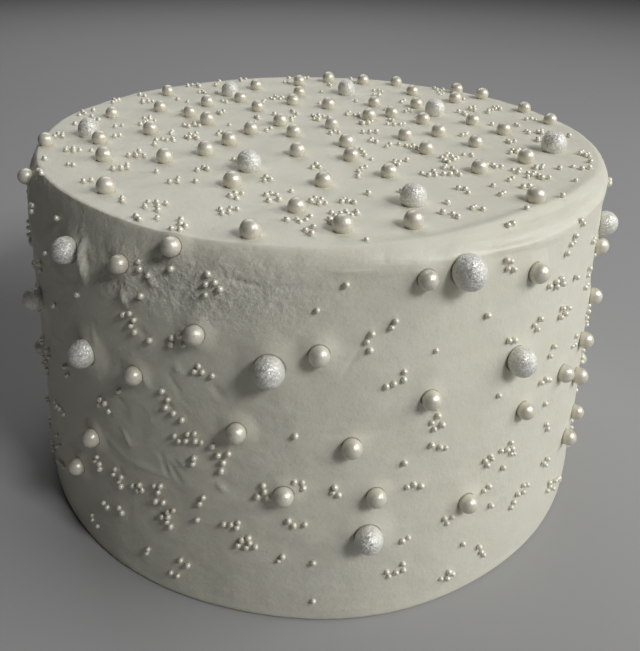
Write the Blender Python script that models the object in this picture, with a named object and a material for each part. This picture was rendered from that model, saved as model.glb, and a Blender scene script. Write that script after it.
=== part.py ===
"""A single-tier wedding cake under smooth icing, dotted with sugar pearls.

Metres, +Z up. The origin is the centre of the flat base, and the cake's shown
side faces -Y. An angle goes round the cake in degrees, from 0 at -Y towards +X.
The pearls come in three sizes. The large ones are pieces of their own, each in
a shallow pocket. The others are pressed into the icing and are one with it.
"""
import math
import random
from collections import namedtuple

import bmesh
import bpy
from mathutils import Vector

MM = 0.001

# The iced body: an eight inch sponge under a few millimetres of icing
HEIGHT = 130 * MM
TOP_RADIUS = 108 * MM
BASE_RADIUS = 114.4 * MM
FOOT_ROUNDING = 1.2 * MM
SIDE_WAVE = 0.4 * MM
TOP_WAVE = 0.3 * MM

# The rim's reach inwards and down: all round, worn to a slant at the left, dragged flat at the right
RIM_IN = 3.5 * MM
RIM_DOWN = 3.5 * MM
RIM_ROUNDNESS = 2.0
WORN_RIM_ANGLE = -44
WORN_RIM_SPREAD = 60
WORN_RIM_MORE_IN = 2.4 * MM
WORN_RIM_MORE_DOWN = 21 * MM
WORN_RIM_FLATTER = 0.8
DRAGGED_RIM_ANGLE = 38
DRAGGED_RIM_SPREAD = 45
DRAGGED_RIM_MORE_IN = 5 * MM
DRAGGED_RIM_MORE_DOWN = 1 * MM
DRAGGED_RIM_FLATTER = 0.6
RIDGE_HEIGHT = 0.9 * MM
RIDGE_REACH = 4 * MM
FLARE_ANGLE = 78
FLARE_SPREAD = 55
FLARE = 2 * MM
FLARE_DEPTH = 16 * MM

# How finely the iced body is faceted
STEPS_ROUND = 64
SIDE_ROWS = 6
RIM_ROWS = 6
TOP_RINGS = 5

# Pearl radii and their unevenness, and how far a centre stands off the icing as a share of the radius
UNSEEN_LARGE_RADIUS = 4.5 * MM
MEDIUM_RADIUS = 3.0 * MM
TINY_RADIUS = 0.92 * MM
BIGGER_UNEVENNESS = 0.06
TINY_UNEVENNESS = 0.14
PROUD_SHARE = 0.6
POCKET_GAP = 0.35 * MM
PEARL_CLEARANCE = 1.2 * MM

# Large pearls on the side as angle, height and diameter, then on the top as x, y and diameter (mm)
SIDE_LARGE = [(-43, 116, 8.2), (-39, 85, 8.8), (-6, 96, 9.2), (22, 123, 9.8), (34, 88, 9.2),
              (9, 36, 8.8), (67, 112, 8.6), (-60, 86, 8.2)]
TOP_LARGE = [(-40, 62, 8.2), (52, 32, 8.8), (15, 70, 8.4), (-87, -5, 8.2), (-22, -43, 8.4), (30, -72, 8.2),
             (89, -17, 9.4)]

# Medium pearls on the shown side as angle and height (mm)
SIDE_MEDIUM = [(-21, 127), (-30, 119), (-17, 104), (-28, 85), (1, 101), (-11, 74), (-4, 53), (6, 70),
               (10, 51), (26, 40), (18, 83), (37, 67), (36, 116), (16, 122), (-40, 51), (-46, 32),
               (-68, 125), (66, 104), (66, 84), (60, 72), (49, 70), (59, 58), (62, 38), (57, 33)]

# Medium pearls on the top as x and y (mm)
TOP_MEDIUM = [(-80, -15), (-73, -35), (-64, -66), (-64, -1), (-52, -35), (-39, -26), (-32, -13),
              (-26, -59), (-99, -18), (-85, 22), (-69, 61), (-67, 33), (-53, 25), (-44, 14), (-48, 43),
              (-25, 1), (-8, -3), (-6, -27), (3, -56), (-5, -79), (-17, -97), (8, -93), (28, -89),
              (13, -31), (12, -16), (7, 9), (23, 23), (33, 28), (35, -5), (25, -47), (-14, 13), (-25, 35),
              (-10, 47), (6, 42), (-34, 51), (-29, 78), (-8, 89), (47, 70), (69, 74), (65, 55), (79, 63),
              (93, 40), (99, 21), (45, 18), (49, 1), (66, 19), (76, 6), (61, -12), (41, -21), (56, -43),
              (75, -31), (68, -69)]

# Clumps of tiny pearls: the busier patches, on the side as angle and height and on the top as x and y,
# each with its reach (mm) and its number of clumps
SIDE_PATCHES = [(-22, 110, 13, 6), (-23, 66, 10, 4), (-24, 39, 11, 5), (-12, 35, 9, 3), (0, 53, 9, 3),
                (33, 50, 11, 4), (44, 25, 10, 3), (33, 103, 10, 2)]
TOP_PATCHES = [(72, -44, 9, 6), (-84, -33, 9, 4), (25, -22, 10, 5), (-54, 2, 9, 3), (44, -40, 11, 4),
               (14, -80, 18, 5), (94, -32, 7, 3)]

# Clumps that a rule spreads all round the side and over the top, and the shape of a clump
SIDE_CLUMPS = 215
TOP_CLUMPS = 140
CLUMP_SIZES = [1, 1, 2, 2, 3, 3, 4, 5]
DRAWS_PER_CLUMP = 4
CLUMP_BEND = 100
CLUMP_STEP_RANGE = (2.05 * TINY_RADIUS, 3.6 * TINY_RADIUS)
DRAWS_PER_TINY = 4
LOWEST_TINY = 9 * MM
HIGHEST_TINY = 127 * MM
TOP_TINY_RADIUS = 103 * MM

# Larger pearls that a rule spreads over the unseen side and the far half of the top
UNSEEN_FROM = 74
UNSEEN_LARGE = 12
UNSEEN_MEDIUM = 44
FAR_TOP_MEDIUM = 6
DRAWS_PER_PEARL = 12
LOWEST_PEARL = 14 * MM
HIGHEST_PEARL = 125 * MM
TOP_PEARL_RADIUS = 99 * MM
FAR_TOP_FROM = 30 * MM
LAYOUT_SEED = 7

# From which clump on, and from one clump in how many, the first tiny pearl is part of the icing
FIRST_FUSED_CLUMP = 0
CLUMPS_PER_FUSED_PEARL = 7

Pearl = namedtuple("Pearl", "centre facing radius")


def hump(away, reach):
    """A smooth hump: 1 at no distance, and 0 from its reach on."""
    return 0.5 + 0.5 * math.cos(math.pi * min(abs(away) / reach, 1.0))


def turn_from(angle, middle):
    """The signed angle from a middle, the short way round."""
    return (angle - middle + 180) % 360 - 180


def rim_at(angle):
    """The rim's reach inwards, its reach down and its roundness at an angle."""
    worn = hump(turn_from(angle, WORN_RIM_ANGLE), WORN_RIM_SPREAD)
    dragged = hump(turn_from(angle, DRAGGED_RIM_ANGLE), DRAGGED_RIM_SPREAD)
    inwards = RIM_IN + worn * WORN_RIM_MORE_IN + dragged * DRAGGED_RIM_MORE_IN
    down = RIM_DOWN + worn * WORN_RIM_MORE_DOWN + dragged * DRAGGED_RIM_MORE_DOWN
    return inwards, down, RIM_ROUNDNESS - worn * WORN_RIM_FLATTER - dragged * DRAGGED_RIM_FLATTER


def rounded_off(share, roundness):
    """How much of a rim's depth is gone at a share of its width."""
    share = min(max(share, 0.0), 1.0)
    return 1 - (1 - share ** roundness) ** (1 / roundness)


def side_radius(angle, height):
    """The side's uneven, slightly sloping radius below the rim."""
    turn = math.radians(angle)
    climb = height / HEIGHT
    broad = math.sin(2 * turn + 0.7) + 0.8 * math.sin(5 * turn + 5 * climb)
    narrow = 0.5 * math.sin(9 * turn - 7 * climb)
    flare = FLARE * hump(turn_from(angle, FLARE_ANGLE), FLARE_SPREAD) * hump(height - HEIGHT, FLARE_DEPTH)
    return BASE_RADIUS + (TOP_RADIUS - BASE_RADIUS) * climb + flare + SIDE_WAVE * (broad + narrow)


def side_point(angle, height):
    """A point of the side, or of the rim above it."""
    inwards, down, roundness = rim_at(angle)
    radius = side_radius(angle, height) - inwards * rounded_off((height - HEIGHT + down) / down, roundness)
    turn = math.radians(angle)
    return Vector((radius * math.sin(turn), -radius * math.cos(turn), height))


def rise_at(x, y, past_crest):
    """How far the top's waves, and the ridge along its dragged rim, lift a place."""
    waves = math.sin(x / (23 * MM) + 1) * math.cos(y / (19 * MM)) + 0.6 * math.sin((x - y) / (13 * MM))
    dragged = hump(turn_from(math.degrees(math.atan2(x, -y)), DRAGGED_RIM_ANGLE), DRAGGED_RIM_SPREAD)
    return TOP_WAVE * waves + RIDGE_HEIGHT * dragged * hump(past_crest, RIDGE_REACH)


def top_point(x, y):
    """A point of the top, or of the rim round it."""
    angle = math.degrees(math.atan2(x, -y))
    inwards, down, roundness = rim_at(angle)
    past_crest = math.hypot(x, y) - side_radius(angle, HEIGHT) + inwards
    over = min(max(past_crest / inwards, 0.0), 1.0)
    raised = rise_at(x, y, past_crest) * (1 - over)
    return Vector((x, y, HEIGHT + raised - down * rounded_off(over, roundness)))


def rim_point(angle, share):
    """A point of the rim at a share of the quarter turn from the side to the top."""
    down, roundness = rim_at(angle)[1:]
    risen = math.sin(math.pi / 2 * share)
    point = side_point(angle, HEIGHT - down * (1 - risen ** (2 / roundness)))
    past_crest = math.hypot(point.x, point.y) - side_radius(angle, HEIGHT) + rim_at(angle)[0]
    return point + Vector((0, 0, rise_at(point.x, point.y, past_crest) * risen))


def side_seat(across, height):
    """A point of the side and the way it faces, from a length round the top's edge."""
    angle = math.degrees(across / TOP_RADIUS)
    round_step = side_point(angle + 1, height) - side_point(angle - 1, height)
    up_step = side_point(angle, height) - side_point(angle, height - MM)
    return side_point(angle, height), round_step.cross(up_step).normalized()


def top_seat(x, y):
    """A point of the top and the way it faces."""
    x_step = top_point(x + MM, y) - top_point(x - MM, y)
    y_step = top_point(x, y + MM) - top_point(x, y - MM)
    return top_point(x, y), x_step.cross(y_step).normalized()


def side_seat_at(angle, height):
    """A point of the side and the way it faces, from an angle and a height in millimetres."""
    return side_seat(math.radians(angle) * TOP_RADIUS, height * MM)


def pressed_pearl(seat, radius):
    """A pearl pressed into the icing at a seat."""
    point, facing = seat
    return Pearl(point + facing * radius * PROUD_SHARE, facing, radius)


def uneven(radius, unevenness, chance):
    """A radius drawn a little larger or smaller."""
    return radius * chance.uniform(1 - unevenness, 1 + unevenness)


def gap_to(pearl, others):
    """The smallest gap between a pearl and any other."""
    gaps = [(pearl.centre - other.centre).length - pearl.radius - other.radius for other in others]
    return min(gaps, default=1.0)


def spread_pearls(count, radius, draw_seat, placed, chance):
    """Pearls placed one by one, each the loneliest of a few draws."""
    added = []
    for _ in range(count):
        draws = [pressed_pearl(draw_seat(chance), uneven(radius, BIGGER_UNEVENNESS, chance))
                 for _ in range(DRAWS_PER_PEARL)]
        added.append(max(draws, key=lambda pearl: gap_to(pearl, placed + added)))
    return added


def draw_unseen_side(chance):
    """A random seat on the part of the side that faces away."""
    angle = chance.uniform(UNSEEN_FROM, 360 - UNSEEN_FROM)
    return side_seat_at(angle, chance.uniform(LOWEST_PEARL, HIGHEST_PEARL) / MM)


def draw_far_top(chance):
    """A random seat on the far half of the top."""
    y = chance.uniform(FAR_TOP_FROM, TOP_PEARL_RADIUS)
    half = math.sqrt(TOP_PEARL_RADIUS ** 2 - y ** 2)
    return top_seat(chance.uniform(-half, half), y)


def large_pearls(chance):
    """The large pearls: those that show, then those spread over the unseen side."""
    shown = [pressed_pearl(side_seat_at(angle, height), size / 2 * MM) for angle, height, size in SIDE_LARGE]
    shown += [pressed_pearl(top_seat(x * MM, y * MM), size / 2 * MM) for x, y, size in TOP_LARGE]
    return shown + spread_pearls(UNSEEN_LARGE, UNSEEN_LARGE_RADIUS, draw_unseen_side, shown, chance)


def medium_pearls(large, chance):
    """The medium pearls: those that show, then those spread where the photograph is vague."""
    seats = [side_seat_at(angle, height) for angle, height in SIDE_MEDIUM]
    seats += [top_seat(x * MM, y * MM) for x, y in TOP_MEDIUM]
    shown = [pressed_pearl(seat, uneven(MEDIUM_RADIUS, BIGGER_UNEVENNESS, chance)) for seat in seats]
    shown += spread_pearls(FAR_TOP_MEDIUM, MEDIUM_RADIUS, draw_far_top, large + shown, chance)
    return shown + spread_pearls(UNSEEN_MEDIUM, MEDIUM_RADIUS, draw_unseen_side, large + shown, chance)


def side_holds(across, height):
    """Whether a tiny pearl may sit at this place of the side."""
    return LOWEST_TINY < height < HIGHEST_TINY


def top_holds(x, y):
    """Whether a tiny pearl may sit at this place of the top."""
    return math.hypot(x, y) < TOP_TINY_RADIUS


def side_start(chance):
    """A random place on the side, as a length round the top's edge and a height."""
    return chance.uniform(-math.pi, math.pi) * TOP_RADIUS, chance.uniform(LOWEST_TINY, HIGHEST_TINY)


def top_start(chance):
    """A random place on the top."""
    turn = chance.uniform(0, math.tau)
    radius = TOP_TINY_RADIUS * math.sqrt(chance.random())
    return radius * math.cos(turn), radius * math.sin(turn)


def clump(seat_at, holds, start, bigger, tiny, chance):
    """A clump of tiny pearls, each beside one of the last few, clear of all others."""
    count, heading = chance.choice(CLUMP_SIZES), chance.uniform(0, 360)
    places, group = [start], []
    across, along = start
    for _ in range(count * DRAWS_PER_TINY):
        pearl = pressed_pearl(seat_at(across, along), uneven(TINY_RADIUS, TINY_UNEVENNESS, chance))
        clear = gap_to(pearl, bigger) > PEARL_CLEARANCE and gap_to(pearl, tiny + group) > 0
        if clear and holds(across, along):
            group.append(pearl)
            places.append((across, along))
        if len(group) == count:
            break
        turn = math.radians(heading + chance.uniform(-CLUMP_BEND, CLUMP_BEND))
        step = chance.uniform(*CLUMP_STEP_RANGE)
        across, along = chance.choice(places[-3:])
        across += step * math.cos(turn)
        along += step * math.sin(turn)
    return group


def tiny_groups(bigger, chance):
    """Every clump of tiny pearls: those of the busier patches, then those spread all over."""
    groups, tiny = [], []

    def add(seat_at, holds, start):
        group = clump(seat_at, holds, start, bigger, tiny, chance)
        if group:
            groups.append(group)
            tiny.extend(group)

    def near(reach):
        return chance.uniform(-reach, reach) * MM

    def add_spread(seat_at, holds, draw_start):
        starts = [draw_start(chance) for _ in range(DRAWS_PER_CLUMP)]
        pearls = [pressed_pearl(seat_at(*start), TINY_RADIUS) for start in starts]
        gaps = [gap_to(pearl, bigger + tiny) for pearl in pearls]
        add(seat_at, holds, starts[gaps.index(max(gaps))])

    for angle, height, reach, count in SIDE_PATCHES:
        for _ in range(count):
            across = math.radians(angle) * TOP_RADIUS + near(reach)
            add(side_seat, side_holds, (across, height * MM + near(reach)))
    for x, y, reach, count in TOP_PATCHES:
        for _ in range(count):
            add(top_seat, top_holds, (x * MM + near(reach), y * MM + near(reach)))
    for _ in range(SIDE_CLUMPS):
        add_spread(side_seat, side_holds, side_start)
    for _ in range(TOP_CLUMPS):
        add_spread(top_seat, top_holds, top_start)
    return groups


def plain_material(name, colour, roughness):
    """A material of one colour and roughness."""
    material = bpy.data.materials.new(name)
    material.use_nodes = True
    shader = material.node_tree.nodes["Principled BSDF"]
    shader.inputs["Base Color"].default_value = (*colour, 1)
    shader.inputs["Roughness"].default_value = roughness
    return material


def iced_body(material):
    """The iced cake without its pearls: rings from the foot to the middle of the top."""
    cake = bmesh.new()
    rings = [[] for _ in range(2 + SIDE_ROWS + RIM_ROWS + TOP_RINGS - 1)]
    for step in range(STEPS_ROUND):
        angle = 360 * step / STEPS_ROUND
        for ring, point in zip(rings, profile_at(angle)):
            ring.append(cake.verts.new(point))
    for lower, upper in zip(rings, rings[1:]):
        for step in range(STEPS_ROUND):
            after = (step + 1) % STEPS_ROUND
            cake.faces.new((lower[step], lower[after], upper[after], upper[step]))
    for ring, middle in ((rings[0], Vector()), (rings[-1], top_point(0, 0))):
        hub = cake.verts.new(middle)
        for step in range(STEPS_ROUND):
            cake.faces.new((hub, ring[step], ring[(step + 1) % STEPS_ROUND]))
    bmesh.ops.triangulate(cake, faces=cake.faces[:])
    bmesh.ops.recalc_face_normals(cake, faces=cake.faces[:])
    return mesh_object("iced_cake", cake, material)


def profile_at(angle):
    """The cake's outline at an angle, from the foot up and in along the top."""
    turn = math.radians(angle)
    outward = Vector((math.sin(turn), -math.cos(turn), 0))
    inwards, down = rim_at(angle)[:2]
    foot = side_radius(angle, 0)
    points = [outward * (foot - FOOT_ROUNDING)]
    for row in range(SIDE_ROWS + 1):
        height = FOOT_ROUNDING + (HEIGHT - down - FOOT_ROUNDING) * row / SIDE_ROWS
        points.append(side_point(angle, height))
    points += [rim_point(angle, row / RIM_ROWS) for row in range(1, RIM_ROWS + 1)]
    edge = side_radius(angle, HEIGHT)
    for ring in range(1, TOP_RINGS):
        radius = (edge - inwards) * (1 - ring / TOP_RINGS)
        points.append(top_point(*(outward * radius).xy))
    return points


def mesh_object(name, shape, material):
    """An object from a bmesh, smooth but for its sharp edges."""
    mesh = bpy.data.meshes.new(name)
    shape.to_mesh(mesh)
    shape.free()
    mesh.shade_smooth()
    mesh.set_sharp_from_angle(angle=math.radians(40))
    mesh.materials.append(material)
    thing = bpy.data.objects.new(name, mesh)
    bpy.context.scene.collection.objects.link(thing)
    return thing


def pressed_ball(name, segments, rings, material):
    """A ball of radius 1 with few sides, for a pearl that is part of the icing."""
    ball = bmesh.new()
    bmesh.ops.create_uvsphere(ball, u_segments=segments, v_segments=rings, radius=1)
    bmesh.ops.triangulate(ball, faces=ball.faces[:])
    return ball_mesh(name, ball, material)


def loose_ball(name, material):
    """A rounder ball of radius 1, for a large pearl and its pocket."""
    ball = bmesh.new()
    bmesh.ops.create_icosphere(ball, subdivisions=2, radius=1)
    return ball_mesh(name, ball, material)


def ball_mesh(name, ball, material):
    """A ball's mesh, ready for many objects to share."""
    holder = mesh_object(name, ball, material)
    mesh = holder.data
    bpy.data.objects.remove(holder)
    return mesh


def ball_object(name, mesh, pearl, radius):
    """A ball placed at a pearl, with its poles along the way that it faces."""
    thing = bpy.data.objects.new(name, mesh)
    thing.location = pearl.centre
    thing.rotation_mode = "QUATERNION"
    thing.rotation_quaternion = pearl.facing.to_track_quat("Z", "Y")
    thing.scale = (radius, radius, radius)
    return thing


def apply_boolean(body, balls, operation):
    """Join balls to the body, or cut them out of it, and remove them."""
    group = bpy.data.collections.new(operation.lower())
    bpy.context.scene.collection.children.link(group)
    for ball in balls:
        group.objects.link(ball)
    modifier = body.modifiers.new(operation.lower(), "BOOLEAN")
    modifier.operation = operation
    modifier.operand_type = "COLLECTION"
    modifier.collection = group
    modifier.solver = "EXACT"
    bpy.context.view_layer.update()
    finished = body.evaluated_get(bpy.context.evaluated_depsgraph_get())
    body.data = bpy.data.meshes.new_from_object(finished)
    body.modifiers.clear()
    for ball in balls:
        bpy.data.objects.remove(ball)
    bpy.data.collections.remove(group)


def build_cake():
    """The cake with its small pearls, and each large pearl in its pocket."""
    chance = random.Random(LAYOUT_SEED)
    large = large_pearls(chance)
    medium = medium_pearls(large, chance)
    groups = tiny_groups(large + medium, chance)
    tiny = [group[0] for group in groups[FIRST_FUSED_CLUMP::CLUMPS_PER_FUSED_PEARL]]

    icing = plain_material("icing", (0.66, 0.66, 0.58), 0.5)
    sugar = plain_material("pearl sugar", (0.72, 0.68, 0.58), 0.25)
    glitter = plain_material("glitter sugar", (0.74, 0.74, 0.72), 0.35)
    cake = iced_body(icing)

    medium_ball = pressed_ball("medium ball", 6, 4, sugar)
    tiny_ball = pressed_ball("tiny ball", 5, 3, sugar)
    large_ball = loose_ball("large ball", glitter)
    fused = [ball_object(f"medium.{index}", medium_ball, pearl, pearl.radius)
             for index, pearl in enumerate(medium)]
    fused += [ball_object(f"tiny.{index}", tiny_ball, pearl, pearl.radius)
              for index, pearl in enumerate(tiny)]
    apply_boolean(cake, fused, "UNION")
    pockets = [ball_object(f"pocket.{index}", large_ball, pearl, pearl.radius + POCKET_GAP)
               for index, pearl in enumerate(large)]
    apply_boolean(cake, pockets, "DIFFERENCE")
    for index, pearl in enumerate(large, 1):
        ball = ball_object(f"large_pearl_{index:02d}", large_ball, pearl, pearl.radius)
        bpy.context.scene.collection.objects.link(ball)


for leftover in list(bpy.data.objects):
    bpy.data.objects.remove(leftover)
build_cake()
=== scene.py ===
import math
import random
from collections import namedtuple

import bpy
from mathutils import Euler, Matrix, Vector
from mathutils.kdtree import KDTree


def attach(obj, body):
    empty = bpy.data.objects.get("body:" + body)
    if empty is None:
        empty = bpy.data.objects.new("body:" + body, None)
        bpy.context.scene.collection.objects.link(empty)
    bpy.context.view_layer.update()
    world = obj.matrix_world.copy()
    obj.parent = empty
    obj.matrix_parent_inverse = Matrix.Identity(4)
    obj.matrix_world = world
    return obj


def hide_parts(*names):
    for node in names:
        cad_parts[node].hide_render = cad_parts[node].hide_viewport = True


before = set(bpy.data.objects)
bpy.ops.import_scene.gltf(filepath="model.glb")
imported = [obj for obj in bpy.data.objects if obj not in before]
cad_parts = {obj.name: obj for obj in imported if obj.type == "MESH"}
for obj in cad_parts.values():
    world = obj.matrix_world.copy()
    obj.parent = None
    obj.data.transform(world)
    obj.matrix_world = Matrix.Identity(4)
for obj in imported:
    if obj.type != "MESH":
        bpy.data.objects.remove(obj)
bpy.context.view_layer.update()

MM = 0.001

# The iced body: an eight inch sponge under a few millimetres of icing
HEIGHT = 130 * MM
TOP_RADIUS = 108 * MM
BASE_RADIUS = 114.4 * MM
FOOT_ROUNDING = 1.2 * MM
SIDE_WAVE = 0.4 * MM
TOP_WAVE = 0.3 * MM

# The rim's reach inwards and down: all round, worn to a slant at the left, dragged flat at the right
RIM_IN = 3.5 * MM
RIM_DOWN = 3.5 * MM
RIM_ROUNDNESS = 2.0
WORN_RIM_ANGLE = -44
WORN_RIM_SPREAD = 60
WORN_RIM_MORE_IN = 2.4 * MM
WORN_RIM_MORE_DOWN = 21 * MM
WORN_RIM_FLATTER = 0.8
DRAGGED_RIM_ANGLE = 38
DRAGGED_RIM_SPREAD = 45
DRAGGED_RIM_MORE_IN = 5 * MM
DRAGGED_RIM_MORE_DOWN = 1 * MM
DRAGGED_RIM_FLATTER = 0.6
RIDGE_HEIGHT = 0.9 * MM
RIDGE_REACH = 4 * MM
FLARE_ANGLE = 78
FLARE_SPREAD = 55
FLARE = 2 * MM
FLARE_DEPTH = 16 * MM

# How finely the iced body is meshed: closer steps at the shown side, and a square grid over the top
TOP_CELLS = 144
STEPS_ROUND = 4 * TOP_CELLS
CLOSER_IN_FRONT = 0.4
FOOT_ROWS = 3
SIDE_ROWS = 108
RIM_ROWS = 26
FLAT_ROWS = 4
FLAT_WIDTH = 5 * MM

# Pearl radii and their unevenness, and how far a centre stands off the icing as a share of the radius
UNSEEN_LARGE_RADIUS = 4.5 * MM
MEDIUM_RADIUS = 3.0 * MM
TINY_RADIUS = 0.92 * MM
BIGGER_UNEVENNESS = 0.06
TINY_UNEVENNESS = 0.14
PROUD_SHARE = 0.6
PEARL_CLEARANCE = 1.2 * MM

# The larger pearls that show, with places read off the photograph.
# Large ones on the side as angle, height and diameter, then on the top as x, y and diameter (mm)
SIDE_LARGE = [(-43, 116, 8.2), (-39, 85, 8.8), (-6, 96, 9.2), (22, 123, 9.8), (34, 88, 9.2),
              (9, 36, 8.8), (67, 112, 8.6), (-60, 86, 8.2)]
TOP_LARGE = [(-40, 62, 8.2), (52, 32, 8.8), (15, 70, 8.4), (-87, -5, 8.2), (-22, -43, 8.4),
             (30, -72, 8.2), (89, -17, 9.4)]

# Medium ones on the shown side as angle and height (mm)
SIDE_MEDIUM = [(-21, 127), (-30, 119), (-17, 104), (-28, 85), (1, 101), (-11, 74), (-4, 53), (6, 70),
               (10, 51), (26, 40), (18, 83), (37, 67), (36, 116), (16, 122), (-40, 51), (-46, 32),
               (-68, 125), (66, 104), (66, 84), (60, 72), (49, 70), (59, 58), (62, 38), (57, 33)]

# Medium ones on the top as x and y (mm)
TOP_MEDIUM = [(-80, -15), (-73, -35), (-64, -66), (-64, -1), (-52, -35), (-39, -26), (-32, -13),
              (-26, -59), (-99, -18), (-85, 22), (-69, 61), (-67, 33), (-53, 25), (-44, 14), (-48, 43),
              (-25, 1), (-8, -3), (-6, -27), (3, -56), (-5, -79), (-17, -97), (8, -93), (28, -89),
              (13, -31), (12, -16), (7, 9), (23, 23), (33, 28), (35, -5), (25, -47), (-14, 13), (-25, 35),
              (-10, 47), (6, 42), (-34, 51), (-29, 78), (-8, 89), (47, 70), (69, 74), (65, 55), (79, 63),
              (93, 40), (99, 21), (45, 18), (49, 1), (66, 19), (76, 6), (61, -12), (41, -21), (56, -43),
              (75, -31), (68, -69)]

# Clumps of tiny pearls: the busier patches, on the side as angle and height and on the top as x and y,
# each with its reach (mm) and its number of clumps
SIDE_PATCHES = [(-22, 110, 13, 6), (-23, 66, 10, 4), (-24, 39, 11, 5), (-12, 35, 9, 3), (0, 53, 9, 3),
                (33, 50, 11, 4), (44, 25, 10, 3), (33, 103, 10, 2)]
TOP_PATCHES = [(72, -44, 9, 6), (-84, -33, 9, 4), (25, -22, 10, 5), (-54, 2, 9, 3), (44, -40, 11, 4),
               (14, -80, 18, 5), (94, -32, 7, 3)]

# Clumps that a rule spreads all round the side and over the top, and the shape of a clump
SIDE_CLUMPS = 215
TOP_CLUMPS = 140
CLUMP_SIZES = [1, 1, 2, 2, 3, 3, 4, 5]
DRAWS_PER_CLUMP = 4
CLUMP_BEND = 100
CLUMP_STEP_RANGE = (2.05 * TINY_RADIUS, 3.6 * TINY_RADIUS)
DRAWS_PER_TINY = 4
LOWEST_TINY = 9 * MM
HIGHEST_TINY = 127 * MM
TOP_TINY_RADIUS = 103 * MM

# Larger pearls that a rule spreads over the unseen side and the far half of the top
UNSEEN_FROM = 74
UNSEEN_LARGE = 12
UNSEEN_MEDIUM = 44
FAR_TOP_MEDIUM = 6
DRAWS_PER_PEARL = 12
LOWEST_PEARL = 14 * MM
HIGHEST_PEARL = 125 * MM
TOP_PEARL_RADIUS = 99 * MM
FAR_TOP_FROM = 30 * MM
LAYOUT_SEED = 7

# The scraper's marks that stand out on the side, as angle and height at both ends, half width and
# raise (mm)
STROKES = [(-42, 128, -41, 123, 1.5, 1.2), (-40, 121, -38.5, 109, 1.9, 2.4),
           (-30, 112, -29, 107, 1.5, 1.2), (-14, 122, -7, 120, 1.0, -0.6), (-7, 120, 2, 120, 1.0, -0.4),
           (-34, 49, -23, 50, 1.2, 0.5), (8, 106, 4, 92, 0.9, -0.3), (0, 74, 12, 74, 1.0, -0.3),
           (22, 127, 44, 124, 1.4, 0.4), (2, 125, 20, 124, 1.1, 0.3)]

# The small marks that a rule spreads: how many, the angles and heights (mm) between which they lie, their
# slants in degrees, and their lengths, half widths and raises (mm)
SMALL_MARKS = 38
MARK_ANGLES = (-40, -12)
MARK_HEIGHTS = (44, 125)
MARK_SLANTS = (-75, -20)
MARK_LENGTHS = (3, 8)
MARK_WIDTHS = (0.9, 1.6)
MARK_RAISES = (-0.6, 0.9)

# How much lower a mark is at its ends than halfway along
MARK_TAPER = 0.8

# The patch of torn icing under the rim, as angle and height (mm) with their spreads
TORN_ANGLE = -20
TORN_ANGLE_SPREAD = 30
TORN_HEIGHT = 117
TORN_HEIGHT_SPREAD = 17
TORN_WIDTH = 9 * MM

# The worn rim at the left, and the part of the side where the scraper left the most marks
WORN_ANGLE = -48
WORN_ANGLE_SPREAD = 40
WORN_DEPTH = 9
WORKED_ANGLE = -22
WORKED_ANGLE_SPREAD = 75
LEAST_WORKED = 0.25

# How far the dragged streaks reach in from the top's edge, and down from it
DRAGGED_WIDTH = 14 * MM
DRAGGED_DEPTH = 11 * MM

# The icing pushed up round the larger pearls, in pearl radii: its height range on the top and on the
# side, how much more where the icing is worked, and its reach from the edge
TOP_MOUND = (0.0, 0.06)
SIDE_MOUND = (0.03, 0.16)
WORKED_MOUND = 0.12
MOUND_REACH = 1.5

# How strong the painted shade line round a pearl is on the top. Between two close pearls neither one has it.
SHADE_LINE_ON_TOP = 0.25
BETWEEN_PEARLS = 2.2 * MM

# The slant of the scraper's strokes on the shown side, and how far they are drawn out
SLANT = 38
DRAWN_OUT = 0.2

# How far the streaks are drawn out round the side, and over the top
ROUND_DRAWN_OUT = 0.1
TOP_DRAWN_OUT = (0.15, 0.9, 1.0)

Pearl = namedtuple("Pearl", "centre facing radius")


def hump(away, reach):
    """A smooth hump: 1 at no distance, and 0 from its reach on."""
    return 0.5 + 0.5 * math.cos(math.pi * min(abs(away) / reach, 1.0))


def turn_from(angle, middle):
    """The signed angle from a middle, the short way round."""
    return (angle - middle + 180) % 360 - 180


def rim_at(angle):
    """The rim's reach inwards, its reach down and its roundness at an angle."""
    worn = hump(turn_from(angle, WORN_RIM_ANGLE), WORN_RIM_SPREAD)
    dragged = hump(turn_from(angle, DRAGGED_RIM_ANGLE), DRAGGED_RIM_SPREAD)
    inwards = RIM_IN + worn * WORN_RIM_MORE_IN + dragged * DRAGGED_RIM_MORE_IN
    down = RIM_DOWN + worn * WORN_RIM_MORE_DOWN + dragged * DRAGGED_RIM_MORE_DOWN
    return inwards, down, RIM_ROUNDNESS - worn * WORN_RIM_FLATTER - dragged * DRAGGED_RIM_FLATTER


def rounded_off(share, roundness):
    """How much of a rim's depth is gone at a share of its width."""
    share = min(max(share, 0.0), 1.0)
    return 1 - (1 - share ** roundness) ** (1 / roundness)


def side_radius(angle, height):
    """The side's uneven, slightly sloping radius below the rim."""
    turn = math.radians(angle)
    climb = height / HEIGHT
    broad = math.sin(2 * turn + 0.7) + 0.8 * math.sin(5 * turn + 5 * climb)
    narrow = 0.5 * math.sin(9 * turn - 7 * climb)
    flare = FLARE * hump(turn_from(angle, FLARE_ANGLE), FLARE_SPREAD) * hump(height - HEIGHT, FLARE_DEPTH)
    return BASE_RADIUS + (TOP_RADIUS - BASE_RADIUS) * climb + flare + SIDE_WAVE * (broad + narrow)


def side_point(angle, height):
    """A point of the side, or of the rim above it."""
    inwards, down, roundness = rim_at(angle)
    radius = side_radius(angle, height) - inwards * rounded_off((height - HEIGHT + down) / down, roundness)
    turn = math.radians(angle)
    return Vector((radius * math.sin(turn), -radius * math.cos(turn), height))


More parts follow.
